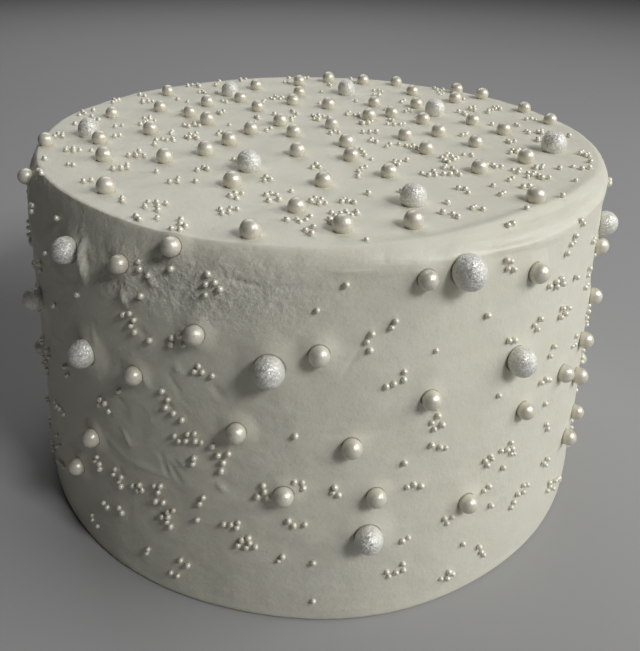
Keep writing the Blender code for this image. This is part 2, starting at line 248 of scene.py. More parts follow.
def rise_at(x, y, past_crest):
    """How far the top's waves, and the ridge along its dragged rim, lift a place."""
    waves = math.sin(x / (23 * MM) + 1) * math.cos(y / (19 * MM)) + 0.6 * math.sin((x - y) / (13 * MM))
    dragged = hump(turn_from(math.degrees(math.atan2(x, -y)), DRAGGED_RIM_ANGLE), DRAGGED_RIM_SPREAD)
    return TOP_WAVE * waves + RIDGE_HEIGHT * dragged * hump(past_crest, RIDGE_REACH)


def top_point(x, y):
    """A point of the top, or of the rim round it."""
    angle = math.degrees(math.atan2(x, -y))
    inwards, down, roundness = rim_at(angle)
    past_crest = math.hypot(x, y) - side_radius(angle, HEIGHT) + inwards
    over = min(max(past_crest / inwards, 0.0), 1.0)
    raised = rise_at(x, y, past_crest) * (1 - over)
    return Vector((x, y, HEIGHT + raised - down * rounded_off(over, roundness)))


def rim_point(angle, share):
    """A point of the rim at a share of the quarter turn from the side to the top."""
    down, roundness = rim_at(angle)[1:]
    risen = math.sin(math.pi / 2 * share)
    point = side_point(angle, HEIGHT - down * (1 - risen ** (2 / roundness)))
    past_crest = math.hypot(point.x, point.y) - side_radius(angle, HEIGHT) + rim_at(angle)[0]
    return point + Vector((0, 0, rise_at(point.x, point.y, past_crest) * risen))


def side_seat(across, height):
    """A point of the side and the way it faces, from a length round the top's edge."""
    angle = math.degrees(across / TOP_RADIUS)
    round_step = side_point(angle + 1, height) - side_point(angle - 1, height)
    up_step = side_point(angle, height) - side_point(angle, height - MM)
    return side_point(angle, height), round_step.cross(up_step).normalized()


def top_seat(x, y):
    """A point of the top and the way it faces."""
    x_step = top_point(x + MM, y) - top_point(x - MM, y)
    y_step = top_point(x, y + MM) - top_point(x, y - MM)
    return top_point(x, y), x_step.cross(y_step).normalized()


def side_seat_at(angle, height):
    """A point of the side and the way it faces, from an angle and a height in millimetres."""
    return side_seat(math.radians(angle) * TOP_RADIUS, height * MM)


def pressed_pearl(seat, radius):
    """A pearl pressed into the icing at a seat."""
    point, facing = seat
    return Pearl(point + facing * radius * PROUD_SHARE, facing, radius)


def uneven(radius, unevenness, chance):
    """A radius drawn a little larger or smaller."""
    return radius * chance.uniform(1 - unevenness, 1 + unevenness)


def gap_to(pearl, others):
    """The smallest gap between a pearl and any other."""
    gaps = [(pearl.centre - other.centre).length - pearl.radius - other.radius for other in others]
    return min(gaps, default=1.0)


def spread_pearls(count, radius, draw_seat, placed, chance):
    """Pearls placed one by one, each the loneliest of a few draws."""
    added = []
    for _ in range(count):
        draws = [pressed_pearl(draw_seat(chance), uneven(radius, BIGGER_UNEVENNESS, chance))
                 for _ in range(DRAWS_PER_PEARL)]
        added.append(max(draws, key=lambda pearl: gap_to(pearl, placed + added)))
    return added


def draw_unseen_side(chance):
    """A random seat on the part of the side that faces away."""
    angle = chance.uniform(UNSEEN_FROM, 360 - UNSEEN_FROM)
    return side_seat_at(angle, chance.uniform(LOWEST_PEARL, HIGHEST_PEARL) / MM)


def draw_far_top(chance):
    """A random seat on the far half of the top."""
    y = chance.uniform(FAR_TOP_FROM, TOP_PEARL_RADIUS)
    half = math.sqrt(TOP_PEARL_RADIUS ** 2 - y ** 2)
    return top_seat(chance.uniform(-half, half), y)


def large_pearls(chance):
    """The large pearls: those that show, then those spread over the unseen side."""
    shown = [pressed_pearl(side_seat_at(angle, height), size / 2 * MM) for angle, height, size in SIDE_LARGE]
    shown += [pressed_pearl(top_seat(x * MM, y * MM), size / 2 * MM) for x, y, size in TOP_LARGE]
    return shown + spread_pearls(UNSEEN_LARGE, UNSEEN_LARGE_RADIUS, draw_unseen_side, shown, chance)


def medium_pearls(large, chance):
    """The medium pearls: those that show, then those spread where the photograph is vague."""
    seats = [side_seat_at(angle, height) for angle, height in SIDE_MEDIUM]
    seats += [top_seat(x * MM, y * MM) for x, y in TOP_MEDIUM]
    shown = [pressed_pearl(seat, uneven(MEDIUM_RADIUS, BIGGER_UNEVENNESS, chance)) for seat in seats]
    shown += spread_pearls(FAR_TOP_MEDIUM, MEDIUM_RADIUS, draw_far_top, large + shown, chance)
    return shown + spread_pearls(UNSEEN_MEDIUM, MEDIUM_RADIUS, draw_unseen_side, large + shown, chance)


def side_holds(across, height):
    """Whether a tiny pearl may sit at this place of the side."""
    return LOWEST_TINY < height < HIGHEST_TINY


def top_holds(x, y):
    """Whether a tiny pearl may sit at this place of the top."""
    return math.hypot(x, y) < TOP_TINY_RADIUS


def side_start(chance):
    """A random place on the side, as a length round the top's edge and a height."""
    return chance.uniform(-math.pi, math.pi) * TOP_RADIUS, chance.uniform(LOWEST_TINY, HIGHEST_TINY)


def top_start(chance):
    """A random place on the top."""
    turn = chance.uniform(0, math.tau)
    radius = TOP_TINY_RADIUS * math.sqrt(chance.random())
    return radius * math.cos(turn), radius * math.sin(turn)


def clump(seat_at, holds, start, bigger, tiny, chance):
    """A clump of tiny pearls, each beside one of the last few, clear of all others."""
    count, heading = chance.choice(CLUMP_SIZES), chance.uniform(0, 360)
    places, group = [start], []
    across, along = start
    for _ in range(count * DRAWS_PER_TINY):
        pearl = pressed_pearl(seat_at(across, along), uneven(TINY_RADIUS, TINY_UNEVENNESS, chance))
        clear = gap_to(pearl, bigger) > PEARL_CLEARANCE and gap_to(pearl, tiny + group) > 0
        if clear and holds(across, along):
            group.append(pearl)
            places.append((across, along))
        if len(group) == count:
            break
        turn = math.radians(heading + chance.uniform(-CLUMP_BEND, CLUMP_BEND))
        step = chance.uniform(*CLUMP_STEP_RANGE)
        across, along = chance.choice(places[-3:])
        across += step * math.cos(turn)
        along += step * math.sin(turn)
    return group


def tiny_groups(bigger, chance):
    """Every clump of tiny pearls: those of the busier patches, then those spread all over."""
    groups, tiny = [], []

    def add(seat_at, holds, start):
        group = clump(seat_at, holds, start, bigger, tiny, chance)
        if group:
            groups.append(group)
            tiny.extend(group)

    def near(reach):
        return chance.uniform(-reach, reach) * MM

    def add_spread(seat_at, holds, draw_start):
        starts = [draw_start(chance) for _ in range(DRAWS_PER_CLUMP)]
        pearls = [pressed_pearl(seat_at(*start), TINY_RADIUS) for start in starts]
        gaps = [gap_to(pearl, bigger + tiny) for pearl in pearls]
        add(seat_at, holds, starts[gaps.index(max(gaps))])

    for angle, height, reach, count in SIDE_PATCHES:
        for _ in range(count):
            across = math.radians(angle) * TOP_RADIUS + near(reach)
            add(side_seat, side_holds, (across, height * MM + near(reach)))
    for x, y, reach, count in TOP_PATCHES:
        for _ in range(count):
            add(top_seat, top_holds, (x * MM + near(reach), y * MM + near(reach)))
    for _ in range(SIDE_CLUMPS):
        add_spread(side_seat, side_holds, side_start)
    for _ in range(TOP_CLUMPS):
        add_spread(top_seat, top_holds, top_start)
    return groups


# Helpers for node trees

def node(tree, kind, inputs=None, **settings):
    """A new node, set up, with each input given a value or joined to a socket."""
    made = tree.nodes.new(kind)
    for name, value in settings.items():
        setattr(made, name, value)
    for key, value in (inputs or {}).items():
        if isinstance(value, bpy.types.NodeSocket):
            tree.links.new(value, made.inputs[key])
        else:
            made.inputs[key].default_value = value
    return made


def calc(tree, operation, *values, clamp=False):
    """The result of a Math node."""
    inputs = dict(enumerate(values))
    return node(tree, "ShaderNodeMath", inputs, operation=operation, use_clamp=clamp).outputs[0]


def vector_calc(tree, operation, *values):
    """The vector result of a Vector Math node."""
    return node(tree, "ShaderNodeVectorMath", dict(enumerate(values)), operation=operation).outputs[0]


def eased(tree, value, start, end):
    """A smooth step from 0 to 1 between two values."""
    inputs = {"Value": value, "From Min": start, "From Max": end}
    return node(tree, "ShaderNodeMapRange", inputs, interpolation_type="SMOOTHSTEP").outputs[0]


def mapped(tree, value, low, high):
    """A value from 0 to 1 taken to a low and a high end."""
    return node(tree, "ShaderNodeMapRange", {"Value": value, "To Min": low, "To Max": high}).outputs[0]


def noise(tree, place, size, detail=2.0, roughness=0.5):
    """Noise round 0, from about -1 to 1, with features of a size in metres."""
    scale = calc(tree, "DIVIDE", 1.0, size)
    inputs = {"Vector": place, "Scale": scale, "Detail": detail, "Roughness": roughness}
    raw = node(tree, "ShaderNodeTexNoise", inputs).outputs[0]
    return calc(tree, "MULTIPLY", calc(tree, "SUBTRACT", raw, 0.5), 3.0)


def new_tree(name, kind, inputs, outputs):
    """A node group with named sockets, and its input and output nodes."""
    tree = bpy.data.node_groups.new(name, kind)
    for label, socket, *default in inputs:
        made = tree.interface.new_socket(label, in_out="INPUT", socket_type="NodeSocket" + socket)
        if default:
            made.default_value = default[0]
    for label, socket in outputs:
        tree.interface.new_socket(label, in_out="OUTPUT", socket_type="NodeSocket" + socket)
    return tree, tree.nodes.new("NodeGroupInput").outputs, tree.nodes.new("NodeGroupOutput").inputs


def named(tree, name, kind="FLOAT"):
    """A named attribute in a Geometry Nodes tree."""
    return node(tree, "GeometryNodeInputNamedAttribute", {"Name": name}, data_type=kind).outputs["Attribute"]


def finish_tree(tree, shape, material, output):
    """The last nodes of a tree: plain smooth geometry with its material."""
    plain = node(tree, "GeometryNodeRealizeInstances", {"Geometry": shape}).outputs[0]
    dressed = node(tree, "GeometryNodeSetMaterial", {"Geometry": plain, "Material": material}).outputs[0]
    tree.links.new(dressed, output)


def slanted(tree, place):
    """A place whose pattern is drawn out along the scraper's slanting strokes."""
    turned = node(tree, "ShaderNodeVectorRotate", {"Vector": place, "Angle": math.radians(SLANT)},
                  rotation_type="Y_AXIS").outputs[0]
    return vector_calc(tree, "MULTIPLY", turned, Vector((DRAWN_OUT, DRAWN_OUT, 1.0)))


def ringed(tree, place):
    """A place whose pattern is drawn out round the cake."""
    parts = node(tree, "ShaderNodeSeparateXYZ", {0: place}).outputs
    flat = vector_calc(tree, "MULTIPLY", place, Vector((1.0, 1.0, 0.0)))
    radius = node(tree, "ShaderNodeVectorMath", {0: flat}, operation="LENGTH").outputs["Value"]
    height = calc(tree, "MULTIPLY_ADD", parts["X"], ROUND_DRAWN_OUT, parts["Z"])
    ahead = calc(tree, "MULTIPLY", parts["Y"], ROUND_DRAWN_OUT)
    return node(tree, "ShaderNodeCombineXYZ", {0: radius, 1: height, 2: ahead}).outputs[0]


def relief_tree():
    """Geometry Nodes that give the icing its unevenness, marks and mounds round pearls."""
    tree, given, out = new_tree(
        "icing relief", "GeometryNodeTree",
        [("Icing", "Geometry"), ("Broad Height", "Float"), ("Broad Size", "Float"),
         ("Narrow Height", "Float"), ("Narrow Size", "Float"), ("Streak Height", "Float"),
         ("Streak Size", "Float"), ("Wrinkle Height", "Float"), ("Wrinkle Size", "Float"),
         ("Torn Height", "Float"), ("Torn Size", "Float"), ("Foot", "Float"), ("Material", "Material")],
        [("Icing", "Geometry")])
    place = node(tree, "GeometryNodeInputPosition").outputs[0]
    facing = node(tree, "GeometryNodeInputNormal").outputs[0]
    parts = node(tree, "ShaderNodeSeparateXYZ", {0: facing})
    upward = eased(tree, parts.outputs["Z"], 0.2, 0.9)

    broad = calc(tree, "MULTIPLY", noise(tree, place, given["Broad Size"]), given["Broad Height"])
    narrow = calc(tree, "MULTIPLY", noise(tree, place, given["Narrow Size"]), given["Narrow Height"])

    dragged = named(tree, "dragged")
    swept = vector_calc(tree, "MULTIPLY", place, Vector(TOP_DRAWN_OUT))
    round_streaks = noise(tree, ringed(tree, place), given["Streak Size"], 2.0)
    top_streaks = noise(tree, swept, given["Streak Size"], 1.0)
    on_top = calc(tree, "MULTIPLY", upward, calc(tree, "SUBTRACT", 1.0, dragged))
    mixed = node(tree, "ShaderNodeMix", {"Factor": on_top, "A": round_streaks, "B": top_streaks}).outputs[0]
    deeper = calc(tree, "MULTIPLY_ADD", dragged, 2.5, 1.0)
    streaks = calc(tree, "MULTIPLY", mixed, calc(tree, "MULTIPLY", given["Streak Height"], deeper))

    creases = noise(tree, slanted(tree, place), given["Wrinkle Size"], 2.0)
    wrinkle_height = calc(tree, "MULTIPLY", named(tree, "worked"), given["Wrinkle Height"])
    wrinkles = calc(tree, "MULTIPLY", creases, wrinkle_height)

    rough = calc(tree, "MULTIPLY", noise(tree, place, given["Torn Size"], 3.0, 0.6), given["Torn Height"])
    torn = calc(tree, "MULTIPLY", rough, named(tree, "torn"))

    total = calc(tree, "ADD", calc(tree, "ADD", broad, narrow), calc(tree, "ADD", streaks, torn))
    total = calc(tree, "ADD", calc(tree, "ADD", total, wrinkles), named(tree, "stroke"))
    total = calc(tree, "ADD", total, named(tree, "mound"))
    height = node(tree, "ShaderNodeSeparateXYZ", {0: place}).outputs["Z"]
    total = calc(tree, "MULTIPLY", total, eased(tree, height, 0.0, given["Foot"]))
    offset = node(tree, "ShaderNodeVectorMath", {0: facing, "Scale": total}, operation="SCALE").outputs[0]
    moved = node(tree, "GeometryNodeSetPosition", {"Geometry": given["Icing"], "Offset": offset}).outputs[0]
    away = vector_calc(tree, "SUBTRACT", place, named(tree, "pearl_centre", "FLOAT_VECTOR"))
    shrink = calc(tree, "DIVIDE", 1.0, named(tree, "pearl_radius"))
    in_radii = node(tree, "ShaderNodeVectorMath", {0: away, "Scale": shrink}, operation="SCALE").outputs[0]
    marked = node(tree, "GeometryNodeStoreNamedAttribute",
                  {"Geometry": moved, "Name": "from_pearl", "Value": in_radii},
                  data_type="FLOAT_VECTOR", domain="POINT").outputs[0]
    finish_tree(tree, marked, given["Material"], out[0])
    return tree


def pearl_tree():
    """Geometry Nodes that set a ball of its own size and turn on every point."""
    tree, given, out = new_tree(
        "pearls on points", "GeometryNodeTree",
        [("Points", "Geometry"), ("Roundness", "Int"), ("Dent Height", "Float"), ("Dent Size", "Float"),
         ("Material", "Material")],
        [("Pearls", "Geometry")])
    ball = node(tree, "GeometryNodeMeshIcoSphere",
                {"Radius": 1.0, "Subdivisions": given["Roundness"]}).outputs[0]
    turn = node(tree, "FunctionNodeEulerToRotation", {0: named(tree, "turn", "FLOAT_VECTOR")}).outputs[0]
    balls = node(tree, "GeometryNodeInstanceOnPoints",
                 {"Points": given["Points"], "Instance": ball, "Rotation": turn,
                  "Scale": named(tree, "radii", "FLOAT_VECTOR")}).outputs[0]
    plain = node(tree, "GeometryNodeRealizeInstances", {"Geometry": balls}).outputs[0]
    place = node(tree, "GeometryNodeInputPosition").outputs[0]
    facing = node(tree, "GeometryNodeInputNormal").outputs[0]
    dents = calc(tree, "MULTIPLY", noise(tree, place, given["Dent Size"]), given["Dent Height"])
    offset = node(tree, "ShaderNodeVectorMath", {0: facing, "Scale": dents}, operation="SCALE").outputs[0]
    moved = node(tree, "GeometryNodeSetPosition", {"Geometry": plain, "Offset": offset}).outputs[0]
    smooth = node(tree, "GeometryNodeSetShadeSmooth", {"Geometry": moved}).outputs[0]
    finish_tree(tree, smooth, given["Material"], out[0])
    return tree


def grown(name, base, tree, settings):
    """The plain mesh object that a tree makes from a base mesh."""
    thing = bpy.data.objects.new(name, base)
    bpy.context.scene.collection.objects.link(thing)
    modifier = thing.modifiers.new(tree.name, "NODES")
    modifier.node_group = tree
    sockets = {item.name: item.identifier for item in tree.interface.items_tree if item.in_out == "INPUT"}
    for label, value in settings.items():
        modifier[sockets[label]] = value
    bpy.context.view_layer.update()
    graph = bpy.context.evaluated_depsgraph_get()
    finished = thing.evaluated_get(graph)
    mesh = bpy.data.meshes.new_from_object(finished, preserve_all_data_layers=True, depsgraph=graph)
    thing.modifiers.clear()
    thing.data = mesh
    mesh.name = name
    return thing


def set_attribute(mesh, name, kind, values):
    """A named attribute on the mesh's points."""
    made = mesh.attributes.new(name, kind, "POINT")
    if kind == "FLOAT":
        made.data.foreach_set("value", values)
    else:
        made.data.foreach_set("vector", [number for vector in values for number in vector])


# The icing's mesh

def angle_of(turn):
    """The angle for an even turn in degrees, drawn closer together at the shown side."""
    return turn - math.degrees(CLOSER_IN_FRONT * math.sin(math.radians(turn)))


def profile_at(angle):
    """The cake's outline at an angle, from the foot up, over the rim and a little way in."""
    turn = math.radians(angle)
    outward = Vector((math.sin(turn), -math.cos(turn), 0))
    inwards, down = rim_at(angle)[:2]
    foot = side_radius(angle, 0)
    points = []
    for row in range(FOOT_ROWS):
        quarter = math.pi / 2 * row / FOOT_ROWS
        radius = foot - FOOT_ROUNDING * (1 - math.sin(quarter))
        points.append(outward * radius + Vector((0, 0, FOOT_ROUNDING * (1 - math.cos(quarter)))))
    for row in range(SIDE_ROWS + 1):
        height = FOOT_ROUNDING + (HEIGHT - down - FOOT_ROUNDING) * row / SIDE_ROWS
        points.append(side_point(angle, height))
    points += [rim_point(angle, row / RIM_ROWS) for row in range(1, RIM_ROWS + 1)]
    edge = side_radius(angle, HEIGHT)
    for row in range(1, FLAT_ROWS + 1):
        radius = edge - inwards - FLAT_WIDTH * row / FLAT_ROWS
        points.append(top_point(*(outward * radius).xy))
    return points


def grid_place(across, ahead):
    """The share of the radius and the even turn for a place of the square grid, both from -1 to 1."""
    if across == ahead == 0:
        return 0.0, 0.0
    if abs(ahead) >= abs(across):
        return abs(ahead), 45 * across / ahead + (0 if ahead > 0 else 180)
    return abs(across), (90 if across > 0 else 270) - 45 * ahead / across


def iced_mesh():
    """The iced cake as one closed mesh of even quads."""
    columns = [profile_at(angle_of(360 * step / STEPS_ROUND)) for step in range(STEPS_ROUND)]
    rings = len(columns[0])
    points = [columns[step][ring] for ring in range(rings) for step in range(STEPS_ROUND)]
    faces = [tuple(reversed(range(STEPS_ROUND)))]
    for ring in range(rings - 1):
        for step in range(STEPS_ROUND):
            after = (step + 1) % STEPS_ROUND
            low, high = ring * STEPS_ROUND, (ring + 1) * STEPS_ROUND
            faces.append((low + step, low + after, high + after, high + step))
    grid = {}
    for i in range(TOP_CELLS + 1):
        for j in range(TOP_CELLS + 1):
            share, turn = grid_place(2 * i / TOP_CELLS - 1, 2 * j / TOP_CELLS - 1)
            if max(abs(2 * i - TOP_CELLS), abs(2 * j - TOP_CELLS)) == TOP_CELLS:
                grid[i, j] = (rings - 1) * STEPS_ROUND + round(turn / 360 * STEPS_ROUND) % STEPS_ROUND
                continue
            angle = angle_of(turn)
            radius = share * (side_radius(angle, HEIGHT) - rim_at(angle)[0] - FLAT_WIDTH)
            grid[i, j] = len(points)
            outward = math.radians(angle)
            points.append(top_point(radius * math.sin(outward), -radius * math.cos(outward)))
    for i in range(TOP_CELLS):
        for j in range(TOP_CELLS):
            faces.append((grid[i, j], grid[i, j + 1], grid[i + 1, j + 1], grid[i + 1, j]))
    mesh = bpy.data.meshes.new("icing shape")
    mesh.from_pydata(points, [], faces)
    mesh.shade_smooth()
    mesh.set_sharp_from_angle(angle=math.radians(60))
    return mesh


def small_marks(chance):
    """The scraper's small marks, slanting down to the right, in the same terms as the large ones."""
    marks = []
    for _ in range(SMALL_MARKS):
        angle, height = chance.uniform(*MARK_ANGLES), chance.uniform(*MARK_HEIGHTS)
        slant, length = math.radians(chance.uniform(*MARK_SLANTS)), chance.uniform(*MARK_LENGTHS)
        turn = math.degrees(length * math.cos(slant) * MM / TOP_RADIUS)
        width, lift = chance.uniform(*MARK_WIDTHS), chance.uniform(*MARK_RAISES)
        marks.append((angle, height, angle + turn, height + length * math.sin(slant), width, lift))
    return marks


def stroke_at(angle, height, marks):
    """How far the scraper's marks raise the side at an angle and a height (mm)."""
    across = math.radians(turn_from(angle, 0)) * TOP_RADIUS / MM
    raised = 0.0
    for angle_a, height_a, angle_b, height_b, width, lift in marks:
        start_across, end_across = (math.radians(end) * TOP_RADIUS / MM for end in (angle_a, angle_b))
        run, rise = end_across - start_across, height_b - height_a
        along = ((across - start_across) * run + (height - height_a) * rise) / (run * run + rise * rise)
        along = min(max(along, 0.0), 1.0)
        away = math.hypot(across - start_across - along * run, height - height_a - along * rise)
        raised += lift * hump(away, width) * (1 - MARK_TAPER * (2 * along - 1) ** 2)
    return raised * MM


def angle_at(place):
    """The angle round the cake of a place."""
    return math.degrees(math.atan2(place.x, -place.y))


def worked_at(angle):
    """How much the icing was worked at an angle, from 0 to 1."""
    return hump(turn_from(angle, WORKED_ANGLE), WORKED_ANGLE_SPREAD)


def torn_at(angle, height):
    """How torn the icing is at an angle and a height (mm), from 0 to 1."""
    round_patch = hump(turn_from(angle, TORN_ANGLE), TORN_ANGLE_SPREAD)
    round_worn = hump(turn_from(angle, WORN_ANGLE), WORN_ANGLE_SPREAD)
    patch = round_patch * hump(height - TORN_HEIGHT, TORN_HEIGHT_SPREAD)
    return max(patch, round_worn * hump(height - HEIGHT / MM, WORN_DEPTH))


def mark_icing(mesh, marks):
    """Give the icing's points the attributes that its relief and its finish read."""
    strokes, torn, worked, dragged = [], [], [], []
    for vertex in mesh.vertices:
        x, y, z = vertex.co
        angle = angle_at(vertex.co)
        past_edge = math.hypot(x, y) - TOP_RADIUS
        on_side = math.hypot(x, y) > TOP_RADIUS - RIM_IN and y < 0
        by_rim = hump(past_edge, DRAGGED_WIDTH) * hump(z - HEIGHT, DRAGGED_DEPTH)
        strokes.append(stroke_at(angle, z / MM, marks) if on_side else 0.0)
        torn.append(torn_at(angle, z / MM) * hump(past_edge, TORN_WIDTH))
        worked.append(LEAST_WORKED + (1 - LEAST_WORKED) * worked_at(angle) if on_side else 0.0)
        dragged.append(hump(turn_from(angle, DRAGGED_RIM_ANGLE), DRAGGED_RIM_SPREAD) * by_rim)
    for name, values in [("stroke", strokes), ("torn", torn), ("worked", worked), ("dragged", dragged)]:
        set_attribute(mesh, name, "FLOAT", values)


def push_at(centre, chance):
    """How high a pearl pushes the icing up round it, in its radii."""
    if centre.z > HEIGHT:
        return chance.uniform(*TOP_MOUND)
    return chance.uniform(*SIDE_MOUND) + WORKED_MOUND * worked_at(angle_at(centre))


def mark_round_pearls(mesh, pearls, chance):
    """Mounds round the larger pearls, and for each point of the icing the pearl beside it."""
    finder = KDTree(len(pearls))
    for index, pearl in enumerate(pearls):
        finder.insert(pearl.centre, index)
    finder.balance()
    pushes = [push_at(pearl.centre, chance) for pearl in pearls]
    reach = max(pearl.radius for pearl in pearls) * (1 + MOUND_REACH)
    mounds, edge_shades, centres, radii = [], [], [], []
    for vertex in mesh.vertices:
        found = finder.find_range(vertex.co, reach)
        close = sorted((away - pearls[index].radius, index) for _, index, away in found) or [(reach, 0)]
        mound = 0.0
        for gap, index in close:
            radius = pearls[index].radius
            mound += radius * pushes[index] * hump(max(gap / radius, 0.0), MOUND_REACH)
        apart = close[1][0] - close[0][0] if len(close) > 1 else reach
        mounds.append(mound)
        nearest = pearls[close[0][1]]
        # How strong the painted shade line is at the nearest pearl's edge: weaker on the top, none between
        # close pearls
        beside = min(3 * hump(close[0][0], nearest.radius), 1.0)
        shade_line = SHADE_LINE_ON_TOP if nearest.centre.z > HEIGHT else 1.0
        edge_shades.append(shade_line * beside * min(max(apart / BETWEEN_PEARLS - 1, 0.0), 1.0))
        centres.append(nearest.centre)
        radii.append(nearest.radius)
    set_attribute(mesh, "mound", "FLOAT", mounds)
    set_attribute(mesh, "pearl_edge_shade", "FLOAT", edge_shades)
    set_attribute(mesh, "pearl_radius", "FLOAT", radii)
    set_attribute(mesh, "pearl_centre", "FLOAT_VECTOR", centres)


def pearl_points(name, pearls, stretch, chance):
    """A mesh of points with each pearl's radii, turn and tint."""
    mesh = bpy.data.meshes.new(name)
    mesh.from_pydata([pearl.centre for pearl in pearls], [], [])
    radii, turns = [], []
    for pearl in pearls:
        longer = chance.uniform(0, stretch)
        radii.append(Vector((1 - longer / 2, 1 - longer / 4, 1 + longer)) * pearl.radius)
        lean = Euler((chance.uniform(-0.5, 0.5), chance.uniform(-0.5, 0.5), chance.uniform(0, math.tau)))
        turns.append(Vector(lean))
    set_attribute(mesh, "radii", "FLOAT_VECTOR", radii)
    set_attribute(mesh, "turn", "FLOAT_VECTOR", turns)
    set_attribute(mesh, "tint", "FLOAT", [chance.random() for _ in pearls])
    return mesh


# Finishes

# From where to where the painted shade of the gap at a pearl's edge fades out, in pearl radii from its centre
PEARL_SHADE_LINE = (1.03, 1.15)

# Colours of the icing: its two patches, where it is fresh or torn, and the painted shade of the gap at a
# pearl's edge
CREAM_ICING = (0.728, 0.706, 0.575)
COOL_ICING = (0.712, 0.700, 0.600)
FRESH_ICING = (0.752, 0.735, 0.632)
TORN_ICING = (0.765, 0.755, 0.665)
GAP_SHADE = (0.10, 0.095, 0.075)

# Colours of the pearls: cream and champagne for the two smaller kinds, their mist, and the glitter's
MEDIUM_SHELLS = ((0.75, 0.715, 0.60), (0.71, 0.65, 0.54))
TINY_SHELLS = ((0.88, 0.855, 0.75), (0.85, 0.80, 0.69))
PEARL_MIST = (0.82, 0.79, 0.68)
DULL_SILVER = (0.86, 0.85, 0.785)
BRIGHT_SILVER = (0.93, 0.92, 0.855)
SAND = (0.52, 0.515, 0.47)
SPECK = 0.3 * MM


def cloudy_group():
    """A shader group: soft clouds from 0 to 1, of a size in metres."""
    tree, given, out = new_tree("soft clouds", "ShaderNodeTree",
                                [("Place", "Vector"), ("Size", "Float"), ("Detail", "Float", 2.0)],
                                [("Mask", "Float")])
    clouds = noise(tree, given["Place"], given["Size"], given["Detail"])
    tree.links.new(calc(tree, "MULTIPLY_ADD", clouds, 0.5, 0.5, clamp=True), out[0])
    return tree


def grain_group():
    """A shader group: fine grain as a normal, of a size and a height in metres."""
    tree, given, out = new_tree("fine grain", "ShaderNodeTree",
                                [("Place", "Vector"), ("Size", "Float"), ("Height", "Float"),
                                 ("Normal", "Vector")],
                                [("Normal", "Vector")])
    tree.interface.items_tree["Normal"].hide_value = True
    grain = noise(tree, given["Place"], given["Size"], 3.0, 0.6)
    bump = node(tree, "ShaderNodeBump", {"Strength": 1.0, "Distance": given["Height"], "Height": grain,
                                         "Normal": given["Normal"]}).outputs[0]
    tree.links.new(bump, out[0])
    return tree


def flake_group():
    """A shader group: a normal tilted at random from flake to flake, of a size in metres."""
    tree, given, out = new_tree("tilted flakes", "ShaderNodeTree",
                                [("Place", "Vector"), ("Size", "Float"), ("Tilt", "Float")],
                                [("Normal", "Vector")])
    scale = calc(tree, "DIVIDE", 1.0, given["Size"])
    cells = node(tree, "ShaderNodeTexVoronoi", {"Vector": given["Place"], "Scale": scale}).outputs["Color"]
    lean = vector_calc(tree, "SUBTRACT", cells, Vector((0.5, 0.5, 0.5)))
    tilt = node(tree, "ShaderNodeVectorMath", {0: lean, "Scale": given["Tilt"]}, operation="SCALE").outputs[0]
    facing = node(tree, "ShaderNodeNewGeometry").outputs["Normal"]
    turned = vector_calc(tree, "NORMALIZE", vector_calc(tree, "ADD", facing, tilt))
    tree.links.new(turned, out[0])
    return tree


def new_material(name, **sockets):
    """A material with its shader's own sockets set, its tree, shader and place on the piece."""
    material = bpy.data.materials.new(name)
    material.use_nodes = True
    tree = material.node_tree
    shader = tree.nodes["Principled BSDF"]
    for label, value in sockets.items():
        shader.inputs[label.replace("_", " ")].default_value = value
    place = node(tree, "ShaderNodeTexCoord").outputs["Object"]
    return material, tree, shader, place


def use_group(tree, group, inputs):
    """A group placed in a material with its own values."""
    return node(tree, "ShaderNodeGroup", inputs, node_tree=group).outputs[0]


def blend(tree, factor, first, second):
    """A colour between two."""
    inputs = {0: factor, 6: (*first, 1) if isinstance(first, tuple) else first,
              7: (*second, 1) if isinstance(second, tuple) else second}
    return node(tree, "ShaderNodeMix", inputs, data_type="RGBA").outputs[2]


def painted(tree, name):
    """A number that the piece carries as an attribute."""
    return node(tree, "ShaderNodeAttribute", attribute_name=name).outputs["Fac"]


